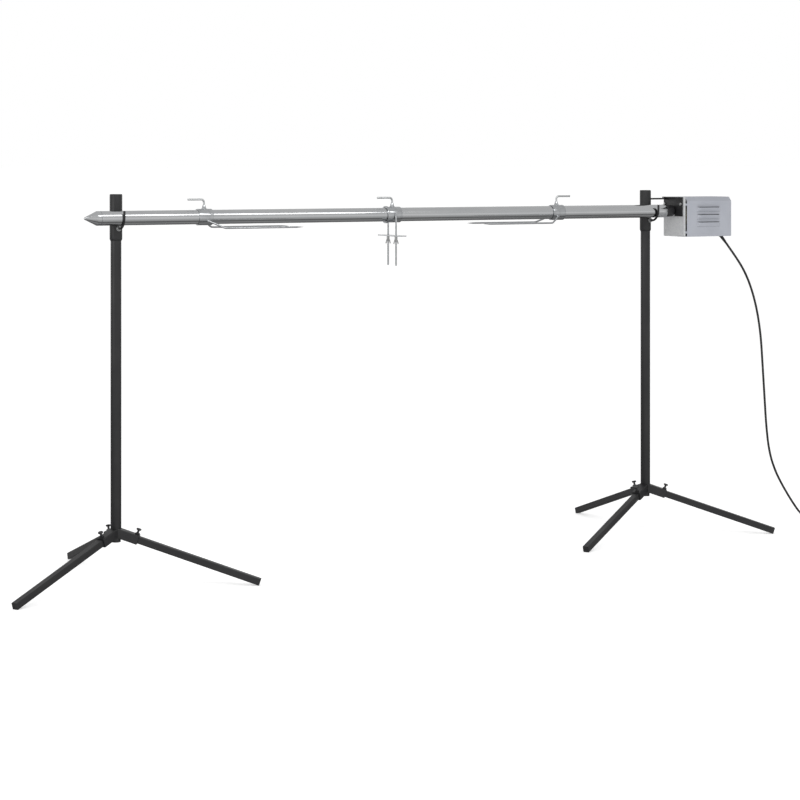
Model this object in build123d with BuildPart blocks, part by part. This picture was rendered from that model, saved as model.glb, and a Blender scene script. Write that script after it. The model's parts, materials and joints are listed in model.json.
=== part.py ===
from build123d import *
from math import cos, pi, radians, sin, tan
import os

# Spit rotisserie for whole animals: two tripod stands carry a long spit tube in open
# hooks, with two meat forks and a spine clamp on it and a gear motor at its right end.
# X runs along the spit to the motor, Y points away from the user, Z is up, all in mm.
# The origin is on the floor, in the middle of the box round the object without its cord.

# ---- driving dimensions ----

fit_gap = 0.3            # between separate bodies that slide or rest on each other
shaft_gap = 0.05         # radial running clearance of shafts in bushes
thread_gap = 0.08        # radial clearance of screws in their threads
seat_gap = 0.1           # radial clearance of pieces that are pushed together for good

post_spacing = 1646.0    # between the axes of the two posts
post_diameter = 28.0
post_wall = 1.5
sleeve_diameter = 33.0
sleeve_top = 1013.0
sleeve_length = 121.0
sleeve_cap = 2.5         # thickness of the sleeve's closed top
sleeve_taper = 5.0       # length of the tapered lower edge

foot_radius = 374.0      # from a post's axis to where its feet touch the floor
leg_slope = 18.5         # degrees below level
leg_size = 18.0          # square tube
leg_wall = 1.5
leg_corner = 2.0
leg_turns = {"left": 210.0, "right": 330.0, "back": 90.0}
end_plug_flange = 1.5
end_plug_depth = 12.0

socket_wall = 3.0
socket_corner = 2.2
socket_reach = 62.0      # from the post's axis to a socket's mouth, along the leg
socket_floor = 15.2      # where a socket's bottom lies, from the post's axis
spigot_height = 45.0     # how far the hub reaches up into the post
hub_cap_drop = 26.0      # the hub's lower end, below the point where the leg axes meet
post_seat_rise = 6.4     # the post's lower end, above that point

leg_screw_at = 55.0      # along the leg, from the post's axis
leg_screw_diameter = 6.0
weld_nut_width = 11.0
weld_nut_height = 4.0
leg_screw_neck = 7.5     # free stem between the welded nut and the head
leg_screw_head = 13.5
leg_screw_head_height = 4.6

spit_height = 951.5
spit_diameter = 38.0
spit_wall = 1.5
spit_sleeve_gap = 0.5    # between the spit and the sleeves behind it
spit_past_left = 55.0    # from the left post's axis to the seam between tube and point
spit_past_right = 43.0   # from the right post's axis to the tube's end
tip_shoulder = 11.0
tip_cone = 33.0
tip_nose = 2.5           # radius left at the point
tip_spigot = 30.0

hook_rod = 6.0
hook_bend = 32.0         # centre-line radius
hook_contact = 29.0      # degrees below level where the spit lies on the bend
hook_tail = 14.0         # rod behind the sleeve
hook_nut_width = 10.0
hook_nut_height = 5.0
washer_diameter = 14.0
washer_height = 1.5
hook_shift = {"left": 2.0, "right": 6.0}

collar_wall = 2.45
fork_collar_length = 40.0
fork_at = {"left": -592.0, "right": 493.0}
prong_spread = 48.0      # from the spit's axis, each side
prong_drop = 28.5
prong_rod = 5.0
prong_reach = 266.0      # from the collar's middle to the points
prong_point = 26.0
prong_bend_at = 30.0     # where a prong turns parallel to the spit
prong_bend = 14.0

boss_diameter = 11.0
boss_height = 9.5
crank_rod = 5.5
crank_rise = 46.5        # handle above the spit's axis
crank_length = 46.0
crank_bend = 8.0

clamp_at = -36.0
clamp_collar_length = 45.0
clamp_ring = 2.0         # how far the ring at the collar's left end stands out
clamp_ring_length = 6.0
clamp_rod = 5.0
clamp_rod_spread = 24.0
clamp_rod_bottom = 140.0
plate_across = 121.0
plate_along = 30.0
plate_thick = 3.0
plate_drop = 57.8        # middle of the plate below the spit's axis
plate_corner = 3.0
wing_hub = 10.0
wing_hub_height = 11.0
wing_span = 16.0
wing_fall = 21.0         # lower tip of the wings below the plate

box_past_post = 76.0     # from the right post's axis to the outer face of the end plate
box_length = 171.0
box_front = 52.0         # in front of the spit's axis and behind it
box_top = 993.0
box_bottom = 876.0
box_corner = 3.0
sheet = 1.2
end_plate_thick = 2.0
tray_depth = 6.0
cover_gap = 4.0          # open slot between the end plate's rim and the cover
cover_chamfer = 12.0
tongue_height = 6.0
tongue_length = 12.0
tongue_levels = (889.0, 971.0)
louvre_length = 81.0
louvre_height = 14.6
louvre_pitch = 22.0
louvre_depth = 5.0
louvre_slit = 1.8
louvre_middle = 934.0
louvre_from_end = 83.5   # middle of the louvres, from the cover's right end
cover_screw_head = 7.0
cover_screw_rise = 2.2

coupling_diameter = 33.5
coupling_length = 27.5   # beyond the tube's end
coupling_bore_depth = 24.0
drive_square = 12.0
shaft_diameter = 14.0
gear_seat_diameter = 12.0
shaft_journal = 8.0
bush_diameter = 16.0
bush_flange = 24.0
bush_flange_thick = 2.0
bush_length = 11.0
bush_stand_out = 2.0     # beyond the end plate's outer face

bracket_thick = 3.0
bracket_half_width = 47.0
bracket_bottom = 936.0
bracket_lip = 9.0
bracket_notch = 8.4      # half width of the notch round the shaft
bracket_screw_spread = 41.0
bracket_screw_level = 972.0
bracket_screw = 5.0
bracket_screw_head = 9.5
stay_rod_diameter = 5.0
stay_rod_level = 987.2
stay_rod_inside = 10.0   # how far it reaches in from the post's outer face

gear_module = 1.25
wheel_teeth = 36
pinion_teeth = 12
mesh_slack = 0.15
gear_width = 8.0
output_gear_depth = 14.0     # from the end plate's outer face, like the next three
cluster_gear_depth = 25.0
cluster_gear_width = 6.0
rotor_pinion_width = 8.0
gear_plate_depth = 34.0
gear_plate_thick = 2.0
gear_plate_half = 46.0
pillar_diameter = 8.0
pillar_spread = 40.0
pillar_levels = (888.0, 982.0)
cluster_pin_diameter = 5.0

rotor_diameter = 31.4
rotor_shaft = 6.0
rotor_air_gap = 0.5
stator_depth = 46.0
stator_thick = 22.0
stator_half_width = 28.0
stator_bottom = 899.0
stator_top = 979.0
stator_window = (943.0, 963.0)
stator_window_half = 18.0
coil_half_width = 15.0
coil_build = 7.5
yoke_thick = 2.0
yoke_rise = 10.0         # free space between the stator and its bearing yoke

cord_diameter = 6.6
cord_front = 24.0        # cord's exit, in front of the spit's axis
gland_from_end = 18.0    # from the cover's right end
gland_diameter = 13.0
gland_lip = 2.5
gland_hole = 9.0
relief_length = 24.0
relief_start_radius = 5.0
relief_end_radius = 3.9
relief_tilt = 41.0       # degrees from straight down, towards +X
coil_turns = 4
coil_mean_diameter = 72.6
plug_radius = 18.5
plug_length = 36.0
plug_relief = 22.0
pin_diameter = 4.8
pin_length = 19.0
pin_pitch = 19.0

# ---- places that follow from them ----

slope = radians(leg_slope)
leg_foot_run = (foot_radius + leg_size / 2 * sin(slope)) / cos(slope)
leg_axis_height = leg_size / 2 * cos(slope) + leg_foot_run * sin(slope)
foot_reach = foot_radius + leg_size * sin(slope)
back_reach = foot_reach
front_reach = foot_reach * sin(radians(30)) + leg_size / 2 * cos(radians(30))
stand_y = -(back_reach - front_reach) / 2

socket_inside = leg_size + 2 * fit_gap
socket_size = socket_inside + 2 * socket_wall
post_bottom = leg_axis_height + post_seat_rise
post_bore = post_diameter - 2 * post_wall
post_top = sleeve_top - sleeve_cap - fit_gap
sleeve_bottom = sleeve_top - sleeve_length
sleeve_bore = post_diameter + 2 * seat_gap

stands = {"left": -post_spacing / 2, "right": post_spacing / 2}
spit_start = stands["left"] - spit_past_left
spit_end = stands["right"] + spit_past_right
coupling_end = spit_end + coupling_length
box_start = stands["right"] + box_past_post
box_end = box_start + box_length
output_gear_at = box_start + output_gear_depth
cluster_gear_at = box_start + cluster_gear_depth
gear_plate_at = box_start + gear_plate_depth
stator_at = box_start + stator_depth
gland_at = box_end - gland_from_end

spit_radius = spit_diameter / 2
spit_offset = sleeve_diameter / 2 + spit_radius + spit_sleeve_gap
spit_y = stand_y - spit_offset

hook_play = hook_bend - hook_rod / 2 - spit_radius - fit_gap
hook_level = spit_height + hook_play * sin(radians(hook_contact)) - hook_bend
hook_arm_y = spit_y + hook_play * cos(radians(hook_contact)) - hook_bend

collar_bore = spit_diameter + 2 * fit_gap
collar_radius = collar_bore / 2 + collar_wall
plate_level = spit_height - plate_drop

cover_start = box_start + tray_depth + cover_gap
box_middle = (box_top + box_bottom) / 2
box_height = box_top - box_bottom
inner_face = box_start + end_plate_thick

mesh_distance = gear_module * (wheel_teeth + pinion_teeth) / 2 + mesh_slack
cluster_turn = 210.0     # where the cluster lies from the output shaft, seen along +X
rotor_turn = 330.0       # where the rotor lies from the cluster
cluster_y = spit_y + mesh_distance * cos(radians(cluster_turn))
cluster_z = spit_height + mesh_distance * sin(radians(cluster_turn))
rotor_y = cluster_y + mesh_distance * cos(radians(rotor_turn))
rotor_z = cluster_z + mesh_distance * sin(radians(rotor_turn))

cord_radius = cord_diameter / 2
cord_y = spit_y - cord_front
relief_tip = (
    gland_at + relief_length * sin(radians(relief_tilt)),
    box_bottom - relief_length * cos(radians(relief_tilt)),
)
floor_cord = cord_radius + 0.1


def level(x, y, z):
    """Horizontal plane through a point."""
    return Plane(origin=(x, y, z))


def across(x, y=0.0, z=0.0):
    """Plane square to the spit: its own x is Y and its own y is Z."""
    return Plane(origin=(x, y, z), x_dir=(0, 1, 0), z_dir=(1, 0, 0))


def along(y, z=0.0, x=0.0):
    """Upright plane along the spit: its own x is X and its own y is Z."""
    return Plane(origin=(x, y, z), x_dir=(1, 0, 0), z_dir=(0, -1, 0))


def leg_section(stand_x, turn, run):
    """Plane square to a leg, run mm out from the post's axis, its own y up."""
    heading = radians(turn)
    out = Vector(cos(heading) * cos(slope), sin(heading) * cos(slope), -sin(slope))
    middle = Vector(stand_x, stand_y, leg_axis_height) + out * run
    return Plane(origin=middle, x_dir=(-sin(heading), cos(heading), 0), z_dir=out)


def leg_top(stand_x, turn, run, rise):
    """Plane parallel to a leg's top face, rise mm above the leg's axis."""
    section = leg_section(stand_x, turn, run)
    return Plane(origin=section.origin + section.y_dir * rise, z_dir=section.y_dir)


def write(builder, name):
    builder.part.label = name
    export_step(builder.part, f"parts/{name}.step")


os.makedirs("parts", exist_ok=True)

# ---- stands ----


def make_hub(side):
    """Three square sockets round a spigot that goes up into the post."""
    x = stands[side]
    with BuildPart() as hub:
        for turn in leg_turns.values():
            with BuildSketch(leg_section(x, turn, 0)):
                RectangleRounded(socket_size, socket_size, socket_corner)
            extrude(amount=socket_reach)
            with BuildSketch(leg_top(x, turn, leg_screw_at, socket_size / 2)):
                RegularPolygon(weld_nut_width / 2, 6, major_radius=False)
            extrude(amount=weld_nut_height)
        with BuildSketch(level(x, stand_y, post_bottom)):
            Circle(post_diameter / 2 + seat_gap)
        extrude(amount=spigot_height, mode=Mode.SUBTRACT)
        with BuildSketch(level(x, stand_y, leg_axis_height - hub_cap_drop)):
            Circle(post_bore / 2 - seat_gap)
        extrude(amount=hub_cap_drop + post_seat_rise + spigot_height)
        for turn in leg_turns.values():
            with BuildSketch(leg_section(x, turn, socket_floor)):
                Rectangle(socket_inside, socket_inside)
            extrude(amount=socket_reach, mode=Mode.SUBTRACT)
            with BuildSketch(leg_top(x, turn, leg_screw_at, 0)):
                Circle(leg_screw_diameter / 2 + thread_gap)
            extrude(amount=socket_size, mode=Mode.SUBTRACT)
    write(hub, f"{side}_hub")


def make_leg(side, where):
    """Square tube leg, its plastic end plug and the screw that clamps it."""
    x, turn = stands[side], leg_turns[where]
    name = f"{side}_stand_{where}_leg"
    tube_end = leg_foot_run - end_plug_flange
    start = socket_floor + fit_gap
    inside = leg_size - 2 * leg_wall

    with BuildPart() as leg:
        with BuildSketch(leg_section(x, turn, start)):
            RectangleRounded(leg_size, leg_size, leg_corner)
            Rectangle(inside, inside, mode=Mode.SUBTRACT)
        extrude(amount=tube_end - start)
    write(leg, name)

    with BuildPart() as plug:
        with BuildSketch(leg_section(x, turn, tube_end)):
            RectangleRounded(leg_size, leg_size, leg_corner)
        extrude(amount=end_plug_flange)
        with BuildSketch(leg_section(x, turn, tube_end)):
            Rectangle(inside - 2 * seat_gap, inside - 2 * seat_gap)
        extrude(amount=-end_plug_depth)
    write(plug, f"{name}_plug")

    tip = leg_size / 2 + fit_gap
    head = socket_size / 2 + weld_nut_height + leg_screw_neck
    with BuildPart() as screw:
        with BuildSketch(leg_top(x, turn, leg_screw_at, tip)):
            Circle(leg_screw_diameter / 2)
        extrude(amount=head - tip)
        with BuildSketch(leg_top(x, turn, leg_screw_at, head)):
            Circle(leg_screw_head / 2)
        extrude(amount=leg_screw_head_height)
        rims = screw.edges().filter_by(GeomType.CIRCLE)
        rims = rims.filter_by(lambda rim: abs(rim.radius - leg_screw_head / 2) < 0.01)
        fillet(rims, leg_screw_head_height * 0.42)
    write(screw, f"{name}_screw")


def make_post(side):
    """Round tube post with holes for the hook and, on the right, the stay rod."""
    x = stands[side]
    with BuildPart() as post:
        with BuildSketch(level(x, stand_y, post_bottom)):
            Circle(post_diameter / 2)
            Circle(post_bore / 2, mode=Mode.SUBTRACT)
        extrude(amount=post_top - post_bottom)
        cut_stand_holes(side)
    write(post, f"{side}_post")


def cut_stand_holes(side):
    """Cut the hook's hole and the stay rod's hole in the part being built."""
    with BuildSketch(along(stand_y, hook_level, stands[side] + hook_shift[side])) as hook_hole:
        Circle(hook_rod / 2 + seat_gap)
    extrude(hook_hole.sketch, amount=sleeve_diameter, both=True, mode=Mode.SUBTRACT)
    if side == "right":
        with BuildSketch(across(stands[side], stand_y, stay_rod_level)) as rod_hole:
            Circle(stay_rod_diameter / 2 + fit_gap)
        extrude(rod_hole.sketch, amount=sleeve_diameter, mode=Mode.SUBTRACT)


def make_sleeve(side):
    """Cap sleeve on the post's top, tapered at its lower edge."""
    x = stands[side]
    radius, bore = sleeve_diameter / 2, sleeve_bore / 2
    with BuildPart() as sleeve:
        with BuildSketch(along(stand_y, 0, x)):
            with BuildLine():
                Polyline(
                    (0, sleeve_top),
                    (radius, sleeve_top),
                    (radius, sleeve_bottom + sleeve_taper),
                    (bore + 0.6, sleeve_bottom),
                    (bore, sleeve_bottom),
                    (bore, sleeve_top - sleeve_cap),
                    (0, sleeve_top - sleeve_cap),
                    close=True,
                )
            make_face()
        revolve(axis=Axis((x, stand_y, 0), (0, 0, 1)))
        fillet(sleeve.edges().group_by(Axis.Z)[-1], sleeve_cap * 0.8)
        cut_stand_holes(side)
    write(sleeve, f"{side}_sleeve")


def make_hook(side):
    """J-shaped rod: through the sleeve and the post, under the spit and up in front."""
    x = stands[side] + hook_shift[side]
    rear = stand_y + sleeve_diameter / 2 + hook_tail
    with BuildPart() as hook:
        with BuildLine(across(x)) as path:
            FilletPolyline(
                (rear, hook_level),
                (hook_arm_y, hook_level),
                (hook_arm_y, spit_height + spit_radius),
                radius=hook_bend,
            )
        with BuildSketch(Plane(origin=path.line @ 0, z_dir=path.line % 0)):
            Circle(hook_rod / 2)
        sweep()
        ends = hook.faces().filter_by(GeomType.PLANE).edges()
        fillet(ends, hook_rod * 0.3)
    write(hook, f"{side}_hook")

    with BuildPart() as nuts:
        for facing in (-1, 1):
            face = stand_y + facing * sleeve_diameter / 2
            seat = Plane(origin=(x, face, hook_level), z_dir=(0, facing, 0))
            with BuildSketch(seat):
                Circle(washer_diameter / 2)
                Circle(hook_rod / 2 + seat_gap, mode=Mode.SUBTRACT)
            extrude(amount=washer_height)
            with BuildSketch(seat.offset(washer_height)):
                RegularPolygon(hook_nut_width / 2, 6, major_radius=False)
                Circle(hook_rod / 2 + seat_gap, mode=Mode.SUBTRACT)
            extrude(amount=hook_nut_height)
    write(nuts, f"{side}_hook_nuts")


for stand in stands:
    make_hub(stand)
    make_post(stand)
    make_sleeve(stand)
    make_hook(stand)
    for leg_place in leg_turns:
        make_leg(stand, leg_place)

# ---- spit ----

with BuildPart() as spit_tube:
    with BuildSketch(across(spit_start, spit_y, spit_height)):
        Circle(spit_radius)
        Circle(spit_radius - spit_wall, mode=Mode.SUBTRACT)
    extrude(amount=spit_end - spit_start)
write(spit_tube, "spit_tube")

with BuildPart() as spit_tip:
    with BuildSketch(along(spit_y, spit_height, spit_start)):
        with BuildLine():
            Polyline(
                (tip_spigot, 0),
                (tip_spigot, spit_radius - spit_wall - seat_gap),
                (0, spit_radius - spit_wall - seat_gap),
                (0, spit_radius),
                (-tip_shoulder, spit_radius),
                (-tip_shoulder - tip_cone, tip_nose),
                (-tip_shoulder - tip_cone, 0),
                close=True,
            )
        make_face()
    revolve(axis=Axis((0, spit_y, spit_height), (1, 0, 0)))
    fillet(spit_tip.edges().group_by(Axis.X)[0], tip_nose * 0.6)
write(spit_tip, "spit_tip")

with BuildPart() as drive_coupling:
    with BuildSketch(across(spit_end, spit_y, spit_height)):
        Circle(coupling_diameter / 2)
    extrude(amount=coupling_end - spit_end)
    chamfer(drive_coupling.edges().group_by(Axis.X)[-1], 2.5)
    with BuildSketch(across(spit_end, spit_y, spit_height)):
        Circle(spit_radius - spit_wall - seat_gap)
    extrude(amount=-tip_spigot)
    with BuildSketch(across(coupling_end, spit_y, spit_height)):
        Rectangle(drive_square + 2 * fit_gap, drive_square + 2 * fit_gap)
    extrude(amount=-coupling_bore_depth, mode=Mode.SUBTRACT)
write(drive_coupling, "drive_coupling")

# ---- meat forks and spine clamp ----


def add_collar(middle, length):
    """Collar round the spit with a threaded boss on top, added to the current part."""
    with BuildSketch(across(middle - length / 2, spit_y, spit_height)) as ring:
        Circle(collar_radius)
    extrude(ring.sketch, amount=length)
    with BuildSketch(level(middle, spit_y, spit_height)) as boss:
        Circle(boss_diameter / 2)
    extrude(boss.sketch, amount=collar_radius + boss_height)


def bore_collar(middle, length):
    """Bore the collar for the spit and its boss for the crank screw."""
    with BuildSketch(across(middle - length, spit_y, spit_height)) as spit_bore:
        Circle(collar_bore / 2)
    extrude(spit_bore.sketch, amount=2 * length, mode=Mode.SUBTRACT)
    with BuildSketch(level(middle, spit_y, spit_height)) as thread:
        Circle(crank_rod / 2 + thread_gap)
    extrude(thread.sketch, amount=collar_radius + 2 * boss_height, mode=Mode.SUBTRACT)


def make_crank(name, middle, pointing):
    """L-shaped screw: upright through the boss, then level towards pointing (+1 or -1)."""
    top = spit_height + crank_rise
    with BuildPart() as crank:
        with BuildLine(along(spit_y)) as path:
            FilletPolyline(
                (middle, spit_height + spit_radius + fit_gap),
                (middle, top),
                (middle + pointing * crank_length, top),
                radius=crank_bend,
            )
        with BuildSketch(Plane(origin=path.line @ 0, z_dir=path.line % 0)):
            Circle(crank_rod / 2)
        sweep()
        fillet(crank.faces().sort_by(Axis.X)[0 if pointing < 0 else -1].edges(), 1.2)
    write(crank, name)


def make_fork(side, pointing):
    """Collar with two prongs that run along the spit towards pointing."""
    middle = fork_at[side]
    with BuildPart() as fork:
        add_collar(middle, fork_collar_length)
        for hand in (-1, 1):
            tip_x = middle + pointing * (prong_reach - prong_point)
            prong_y = spit_y + hand * prong_spread
            prong_z = spit_height - prong_drop
            with BuildLine() as path:
                FilletPolyline(
                    (middle + pointing * 2, spit_y + hand * 18, spit_height - 8),
                    (middle + pointing * prong_bend_at, prong_y, prong_z),
                    (tip_x, prong_y, prong_z),
                    radius=prong_bend,
                )
            with BuildSketch(Plane(origin=path.line @ 0, z_dir=path.line % 0)):
                Circle(prong_rod / 2)
            sweep()
            point = Plane(origin=(tip_x, prong_y, prong_z), z_dir=(pointing, 0, 0))
            with BuildSketch(point):
                Circle(prong_rod / 2)
            with BuildSketch(point.offset(prong_point)):
                Circle(prong_rod / 10)
            loft()
        bore_collar(middle, fork_collar_length)
    write(fork, f"{side}_fork")
    make_crank(f"{side}_fork_screw", middle, -pointing)


make_fork("left", 1)
make_fork("right", -1)

with BuildPart() as spine_clamp:
    add_collar(clamp_at, clamp_collar_length)
    with BuildSketch(across(clamp_at - clamp_collar_length / 2, spit_y, spit_height)):
        Circle(collar_radius + clamp_ring)
    extrude(amount=clamp_ring_length)
    with BuildSketch(level(clamp_at, spit_y, spit_height - clamp_rod_bottom)):
        with GridLocations(0, 2 * clamp_rod_spread, 1, 2):
            Circle(clamp_rod / 2)
    extrude(amount=clamp_rod_bottom + clamp_rod)
    bore_collar(clamp_at, clamp_collar_length)
write(spine_clamp, "spine_clamp")
make_crank("spine_clamp_screw", clamp_at, -1)

with BuildPart() as spine_plate:
    with BuildSketch(level(clamp_at, spit_y, plate_level)):
        RectangleRounded(plate_along, plate_across, plate_corner)
        with GridLocations(0, 2 * clamp_rod_spread, 1, 2):
            Circle(clamp_rod / 2 + fit_gap, mode=Mode.SUBTRACT)
    extrude(amount=plate_thick / 2, both=True)
write(spine_plate, "spine_plate")


def make_wing_nut(name, hand):
    """Wing nut hanging under the plate, its wings spread downwards."""
    top = plate_level - plate_thick / 2 - fit_gap
    y = spit_y + hand * clamp_rod_spread
    with BuildPart() as nut:
        with BuildSketch(along(y, top, clamp_at)):
            for way in (-1, 1):
                with BuildLine():
                    Polyline(
                        (0, -wing_hub_height * 0.45),
                        (way * wing_span * 0.3, -wing_hub_height * 0.45),
                        (way * wing_span / 2, -wing_fall * 0.8),
                        (way * wing_span * 0.42, -wing_fall),
                        (way * wing_span * 0.3, -wing_fall),
                        (0, -wing_hub_height),
                        close=True,
                    )
                make_face()
        extrude(amount=1.2, both=True)
        with BuildSketch(level(clamp_at, y, top)):
            Circle(wing_hub / 2)
        extrude(amount=-wing_hub_height)
        with BuildSketch(level(clamp_at, y, top)):
            Circle(clamp_rod / 2 + fit_gap)
        extrude(amount=-2 * wing_fall, mode=Mode.SUBTRACT)
    write(nut, name)


make_wing_nut("front_wing_nut", -1)
make_wing_nut("back_wing_nut", 1)

# ---- motor housing ----


def louvre_outline(middle_z, facing):
    """Section of a louvre's tongue: it leans in from the lower edge of its window."""
    face = spit_y + facing * box_front
    foot, head = middle_z - louvre_height / 2, middle_z + louvre_height / 2 - louvre_slit
    return [
        (face, foot),
        (face - facing * sheet, foot - sheet / 2),
        (face - facing * (louvre_depth + sheet), head),
        (face - facing * louvre_depth, head),
    ]


def cover_outline(inset):
    """Corners of the cover's section, set in from its outer face."""
    front, back = spit_y - box_front + inset, spit_y + box_front - inset
    bevel = cover_chamfer - inset * (2 - 2**0.5)
    return [
        (back, box_bottom + inset),
        (front, box_bottom + inset),
        (front, box_top - inset - bevel),
        (front + bevel, box_top - inset),
        (back, box_top - inset),
    ]


with BuildPart() as motor_cover:
    with BuildSketch(across(cover_start)):
        with BuildLine():
            FilletPolyline(*cover_outline(0), radius=box_corner, close=True)
        make_face()
    extrude(amount=box_end - cover_start)
    fillet(motor_cover.faces().sort_by(Axis.X)[-1].edges(), sheet)
    with BuildSketch(across(cover_start)):
        with BuildLine():
            FilletPolyline(*cover_outline(sheet), radius=box_corner - sheet, close=True)
        make_face()
    extrude(amount=box_end - cover_start - sheet, mode=Mode.SUBTRACT)
    louvre_x = box_end - louvre_from_end
    for facing in (-1, 1):
        for step in (-1, 0, 1):
            middle_z = louvre_middle + step * louvre_pitch
            with BuildSketch(along(spit_y + facing * (box_front - sheet), middle_z, louvre_x)):
                Rectangle(louvre_length, louvre_height)
            extrude(amount=-facing * 2 * sheet, mode=Mode.SUBTRACT)
            start = louvre_x - louvre_length / 2
            with BuildSketch(across(start)):
                with BuildLine():
                    Polyline(*louvre_outline(middle_z, facing), close=True)
                make_face()
            extrude(amount=louvre_length)
            face = spit_y + facing * box_front
            for end in (start - sheet / 2, start + louvre_length - sheet / 2):
                with BuildSketch(across(end)):
                    with BuildLine():
                        Polyline(
                            (face, middle_z - louvre_height / 2),
                            (face - facing * (louvre_depth + sheet), middle_z + louvre_height / 2),
                            (face, middle_z + louvre_height / 2),
                            close=True,
                        )
                    make_face()
                extrude(amount=sheet)
        for tongue_z in tongue_levels:
            tongue_y = spit_y + facing * (box_front - 1.5 * sheet)
            with BuildSketch(across(cover_start + cover_gap, tongue_y, tongue_z)):
                Rectangle(sheet, tongue_height)
            extrude(amount=-tongue_length)
    with BuildSketch(level(gland_at, cord_y, box_bottom)):
        Circle(gland_hole / 2)
    extrude(amount=2 * sheet, mode=Mode.SUBTRACT)
write(motor_cover, "motor_cover")

with BuildPart() as motor_end_plate:
    with BuildSketch(across(box_start, spit_y, box_middle)):
        RectangleRounded(2 * box_front, box_height, box_corner)
    extrude(amount=tray_depth)
    with BuildSketch(across(box_start + end_plate_thick, spit_y, box_middle)):
        RectangleRounded(
            2 * (box_front - sheet + seat_gap),
            box_height - 2 * (sheet - seat_gap),
            box_corner - sheet,
        )
    extrude(amount=tray_depth, mode=Mode.SUBTRACT)
    with BuildSketch(across(box_start, spit_y, spit_height)):
        Circle(bush_diameter / 2 + seat_gap)
        with Locations((0, bracket_screw_level - spit_height)):
            with GridLocations(2 * bracket_screw_spread, 0, 2, 1):
                Circle(bracket_screw / 2 + seat_gap)
    extrude(amount=end_plate_thick, mode=Mode.SUBTRACT)
write(motor_end_plate, "motor_end_plate")

with BuildPart() as mount_bracket:
    with BuildSketch(across(box_start - bracket_thick, spit_y)):
        with BuildLine():
            Polyline(
                (-bracket_half_width, bracket_bottom),
                (-bracket_half_width, box_top),
                (bracket_half_width, box_top),
                (bracket_half_width, bracket_bottom),
                (bracket_notch, bracket_bottom),
                (bracket_notch, spit_height),
                (-bracket_notch, spit_height),
                (-bracket_notch, bracket_bottom),
                close=True,
            )
        make_face()
        with Locations((0, spit_height)):
            Circle(bracket_notch, mode=Mode.SUBTRACT)
        with Locations((0, bracket_screw_level)):
            with GridLocations(2 * bracket_screw_spread, 0, 2, 1):
                Circle(bracket_screw / 2 + seat_gap, mode=Mode.SUBTRACT)
        with Locations((spit_offset, stay_rod_level)):
            Circle(stay_rod_diameter / 2 + seat_gap, mode=Mode.SUBTRACT)
    extrude(amount=bracket_thick)
    with BuildSketch(along(spit_y, box_top - bracket_thick / 2, box_start - bracket_lip / 2)):
        Rectangle(bracket_lip, bracket_thick)
    extrude(amount=bracket_half_width, both=True)
    with BuildSketch(across(box_start - bracket_lip, stand_y, stay_rod_level)):
        Circle(stay_rod_diameter / 2 + seat_gap)
    extrude(amount=bracket_lip, mode=Mode.SUBTRACT)
write(mount_bracket, "mount_bracket")

with BuildPart() as bracket_screws:
    with BuildSketch(across(box_start - bracket_thick, spit_y, bracket_screw_level)):
        with GridLocations(2 * bracket_screw_spread, 0, 2, 1):
            Circle(bracket_screw_head / 2)
    extrude(amount=-bracket_thick)
    fillet(bracket_screws.edges().group_by(Axis.X)[0], 1.2)
    with BuildSketch(across(box_start - bracket_thick, spit_y, bracket_screw_level)):
        with GridLocations(2 * bracket_screw_spread, 0, 2, 1):
            Circle(bracket_screw / 2)
    extrude(amount=2 * bracket_thick + end_plate_thick)
write(bracket_screws, "bracket_screws")

with BuildPart() as cover_screws:
    for screw_z in tongue_levels:
        seat = Plane(
            origin=(cover_start + cover_gap, spit_y + box_front, screw_z),
            z_dir=(0, 1, 0),
        )
        with BuildSketch(seat):
            Circle(cover_screw_head / 2)
        extrude(amount=cover_screw_rise)
    fillet(cover_screws.edges().group_by(Axis.Y)[-1], 0.9)
write(cover_screws, "cover_screws")

with BuildPart() as stay_rod:
    rod_start = stands["right"] + post_diameter / 2 - stay_rod_inside
    with BuildSketch(across(rod_start, stand_y, stay_rod_level)):
        Circle(stay_rod_diameter / 2)
    extrude(amount=box_start - rod_start)
    chamfer(stay_rod.edges().group_by(Axis.X)[0], 1.0)
write(stay_rod, "stay_rod")

# ---- gear train ----


def gear_outline(teeth, first_tooth):
    """Straight-sided teeth; first_tooth is the angle of one tooth's middle."""
    pitch_radius = gear_module * teeth / 2
    tip, root = pitch_radius + gear_module * 0.9, pitch_radius - gear_module * 1.25
    half = 90 / teeth * 0.88
    corners = []
    for tooth in range(teeth):
        middle = first_tooth + tooth * 360 / teeth
        for radius, turn in ((root, -1.35), (tip, -0.5), (tip, 0.5), (root, 1.35)):
            angle = radians(middle + turn * half)
            corners.append((radius * cos(angle), radius * sin(angle)))
    return corners


def add_gear(plane, teeth, first_tooth, width):
    with BuildSketch(plane) as blank:
        with BuildLine():
            Polyline(*gear_outline(teeth, first_tooth), close=True)
        make_face()
    extrude(blank.sketch, amount=width)


def bore_through(plane, diameter, length):
    with BuildSketch(plane) as hole:
        Circle(diameter / 2)
    extrude(hole.sketch, amount=length, mode=Mode.SUBTRACT)


half_pinion_pitch = 180 / pinion_teeth

with BuildPart() as output_shaft:
    square_start = coupling_end - coupling_bore_depth + 4
    with BuildSketch(across(square_start, spit_y, spit_height)):
        Rectangle(drive_square, drive_square)
    extrude(amount=coupling_end + 1 - square_start)
    with BuildSketch(across(coupling_end + 1, spit_y, spit_height)):
        Circle(shaft_diameter / 2)
    extrude(amount=output_gear_at - coupling_end - 1)
    with BuildSketch(across(output_gear_at, spit_y, spit_height)):
        Circle(gear_seat_diameter / 2)
    extrude(amount=gear_width + 2)
    with BuildSketch(across(output_gear_at + gear_width + 2, spit_y, spit_height)):
        Circle(shaft_journal / 2)
    extrude(amount=gear_plate_at + gear_plate_thick - output_gear_at - gear_width - 2)
write(output_shaft, "output_shaft")

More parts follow.
